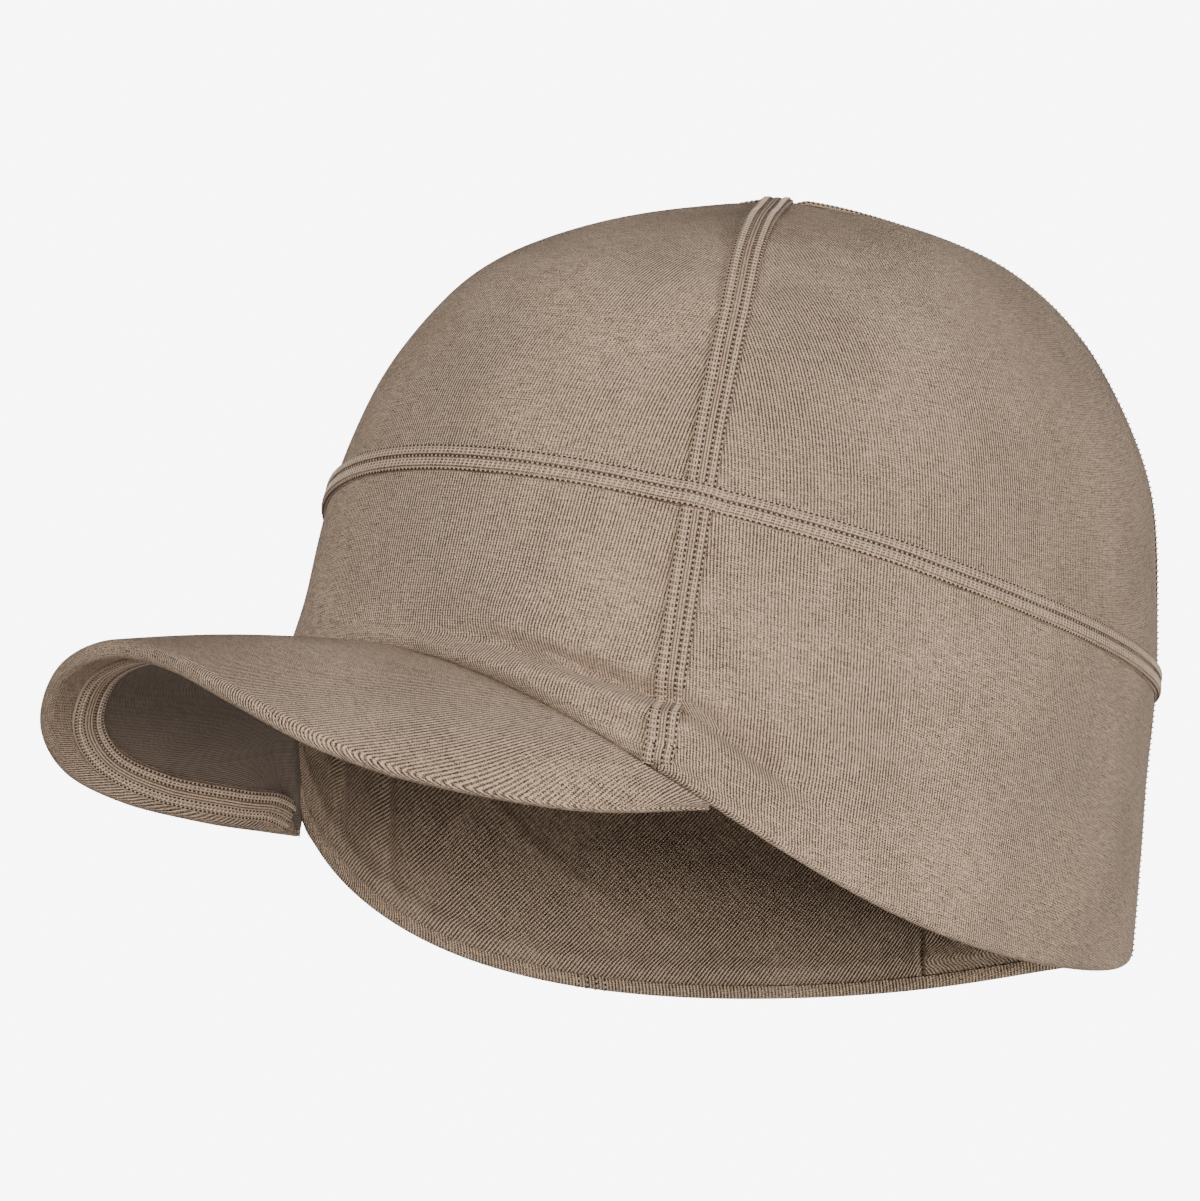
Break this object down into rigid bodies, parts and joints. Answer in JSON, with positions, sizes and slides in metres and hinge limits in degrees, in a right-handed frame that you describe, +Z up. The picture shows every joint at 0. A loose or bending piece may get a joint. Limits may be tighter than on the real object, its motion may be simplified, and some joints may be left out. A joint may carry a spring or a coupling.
{
  "type": "brimmed beanie",
  "caption": "Close-fitting knit beanie with a short curved visor, flat raised seams and a lower edge that drops over ears and nape.",
  "frame": {"origin": "Middle of the head, level with the lower front edge of the crown.", "axes": "The visor points along -Y, the wearer's left side is +X and +Z is up."},
  "size_m": [0.1711, 0.2468, 0.1576],
  "materials": {
    "knit": "fine ribbed knit, matt",
    "seam_knit": "same knit, flat seam with tonal stitches",
    "lining_knit": "ribbed knit, matt"
  },
  "bodies": {
    "root": {"front_dome_panel": "knit", "left_dome_panel": "knit", "right_dome_panel": "knit", "front_band_panel": "knit", "left_side_panel": "knit", "right_side_panel": "knit", "cross_seam_top": "seam_knit", "cross_seam_left": "seam_knit", "cross_seam_right": "seam_knit", "back_seam": "seam_knit", "band_seam": "seam_knit", "ear_band_lining": "lining_knit", "visor": "knit", "visor_seam": "seam_knit"}
  },
  "joints": []
}
